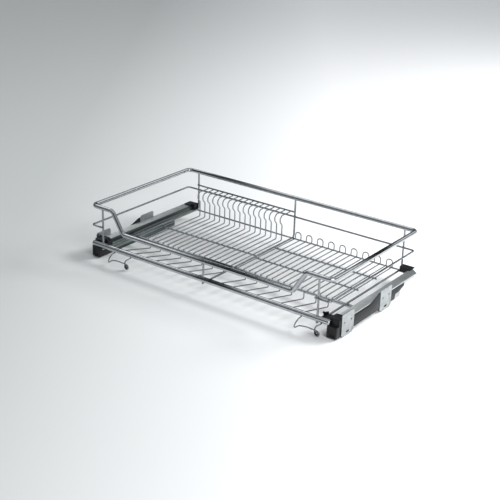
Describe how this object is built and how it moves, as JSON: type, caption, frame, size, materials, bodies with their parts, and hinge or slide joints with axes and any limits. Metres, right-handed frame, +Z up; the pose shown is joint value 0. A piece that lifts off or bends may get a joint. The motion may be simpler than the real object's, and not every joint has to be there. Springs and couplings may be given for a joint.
{
  "type": "pull-out dish drying rack",
  "caption": "Pull-out chromed wire dish basket on soft-close runners, with upright plate dividers, low bowl arches, a sloping front tray and cabinet brackets.",
  "frame": {"origin": "on the floor under the middle of the bounding box, with the basket pushed in", "axes": "+X to the right seen from the front, +Y to the back of the cabinet, +Z up; the basket pulls out towards -Y"},
  "size_m": [0.864, 0.4743, 0.1685],
  "materials": {
    "chromed_wire": "bright chromed steel wire and tube",
    "zinc_plated_steel": "zinc-plated rolled steel sheet",
    "black_plastic": "black moulded plastic, satin",
    "cage_plastic": "natural moulded plastic",
    "polished_steel": "polished hard steel",
    "dark_rubber": "dark rubber bush"
  },
  "bodies": {
    "root": {"left_bracket_rivets": "zinc_plated_steel", "left_cabinet_rail": "zinc_plated_steel", "left_closing_spring": "polished_steel", "left_damper_cylinder": "polished_steel", "left_damper_housing": "black_plastic", "left_front_bracket": "zinc_plated_steel", "left_rear_bracket": "zinc_plated_steel", "right_bracket_rivets": "zinc_plated_steel", "right_cabinet_rail": "zinc_plated_steel", "right_closing_spring": "polished_steel", "right_damper_cylinder": "polished_steel", "right_damper_housing": "black_plastic", "right_front_bracket": "zinc_plated_steel", "right_rear_bracket": "zinc_plated_steel"},
    "basket": {"bowl_wires": "chromed_wire", "centre_wire": "chromed_wire", "front_cross_bar": "chromed_wire", "front_rail": "chromed_wire", "front_tray_wires": "chromed_wire", "left_cross_wire": "chromed_wire", "left_drawer_rail": "zinc_plated_steel", "left_drive_pin": "zinc_plated_steel", "left_front_block": "black_plastic", "left_front_clip": "black_plastic", "left_front_hook": "chromed_wire", "left_front_hook_grommet": "dark_rubber", "left_rear_clip": "black_plastic", "left_side_wire": "chromed_wire", "mid_rail": "chromed_wire", "plate_rail": "chromed_wire", "plate_wires": "chromed_wire", "rear_cross_bar": "chromed_wire", "right_drawer_rail": "zinc_plated_steel", "right_drive_pin": "zinc_plated_steel", "right_front_block": "black_plastic", "right_front_clip": "black_plastic", "right_front_cross_wire": "chromed_wire", "right_front_hook": "chromed_wire", "right_front_hook_grommet": "dark_rubber", "right_rear_clip": "black_plastic", "right_rear_cross_wire": "chromed_wire", "right_side_wire": "chromed_wire", "top_rail": "chromed_wire"},
    "left_catch": {"left_catch": "black_plastic", "left_damper_rod": "polished_steel"},
    "left_lower_cage": {"left_lower_ball_cage": "cage_plastic", "left_lower_balls": "polished_steel"},
    "left_middle_rail": {"left_middle_rail": "zinc_plated_steel"},
    "left_release_lever": {"left_release_lever": "black_plastic"},
    "left_upper_cage": {"left_upper_ball_cage": "cage_plastic", "left_upper_balls": "polished_steel"},
    "right_catch": {"right_catch": "black_plastic", "right_damper_rod": "polished_steel"},
    "right_lower_cage": {"right_lower_ball_cage": "cage_plastic", "right_lower_balls": "polished_steel"},
    "right_middle_rail": {"right_middle_rail": "zinc_plated_steel"},
    "right_release_lever": {"right_release_lever": "black_plastic"},
    "right_upper_cage": {"right_upper_ball_cage": "cage_plastic", "right_upper_balls": "polished_steel"}
  },
  "joints": [
    {"name": "basket_slide", "type": "slide", "parent": "root", "child": "basket", "axis": [0, -1, 0], "range_m": [0, 0.4]},
    {"name": "left_middle_rail_slide", "type": "slide", "parent": "root", "child": "left_middle_rail", "axis": [0, -1, 0], "range_m": [0, 0.2]},
    {"name": "left_upper_cage_slide", "type": "slide", "parent": "root", "child": "left_upper_cage", "axis": [0, -1, 0], "range_m": [0, 0.3]},
    {"name": "left_lower_cage_slide", "type": "slide", "parent": "root", "child": "left_lower_cage", "axis": [0, -1, 0], "range_m": [0, 0.1]},
    {"name": "left_catch_slide", "type": "slide", "parent": "root", "child": "left_catch", "axis": [0, -1, 0], "range_m": [0, 0.04]},
    {"name": "left_release_lever_hinge", "type": "hinge", "parent": "basket", "child": "left_release_lever", "pos_m": [-0.3923, -0.1775, 0.0484], "axis": [-1, 0, 0], "range_deg": [0, 15], "stiffness_Nm_per_rad": 0.05},
    {"name": "right_middle_rail_slide", "type": "slide", "parent": "root", "child": "right_middle_rail", "axis": [0, -1, 0], "range_m": [0, 0.2]},
    {"name": "right_upper_cage_slide", "type": "slide", "parent": "root", "child": "right_upper_cage", "axis": [0, -1, 0], "range_m": [0, 0.3]},
    {"name": "right_lower_cage_slide", "type": "slide", "parent": "root", "child": "right_lower_cage", "axis": [0, -1, 0], "range_m": [0, 0.1]},
    {"name": "right_catch_slide", "type": "slide", "parent": "root", "child": "right_catch", "axis": [0, -1, 0], "range_m": [0, 0.04]},
    {"name": "right_release_lever_hinge", "type": "hinge", "parent": "basket", "child": "right_release_lever", "pos_m": [0.3723, -0.1775, 0.0484], "axis": [-1, 0, 0], "range_deg": [0, 15], "stiffness_Nm_per_rad": 0.05}
  ],
  "couplings": [
    {"joint": "left_middle_rail_slide", "follows": "basket_slide", "ratio": 0.5},
    {"joint": "left_upper_cage_slide", "follows": "basket_slide", "ratio": 0.75},
    {"joint": "left_lower_cage_slide", "follows": "basket_slide", "ratio": 0.25},
    {"joint": "left_catch_slide", "follows": "basket_slide", "ratio": 0.1},
    {"joint": "right_middle_rail_slide", "follows": "basket_slide", "ratio": 0.5},
    {"joint": "right_upper_cage_slide", "follows": "basket_slide", "ratio": 0.75},
    {"joint": "right_lower_cage_slide", "follows": "basket_slide", "ratio": 0.25},
    {"joint": "right_catch_slide", "follows": "basket_slide", "ratio": 0.1}
  ]
}
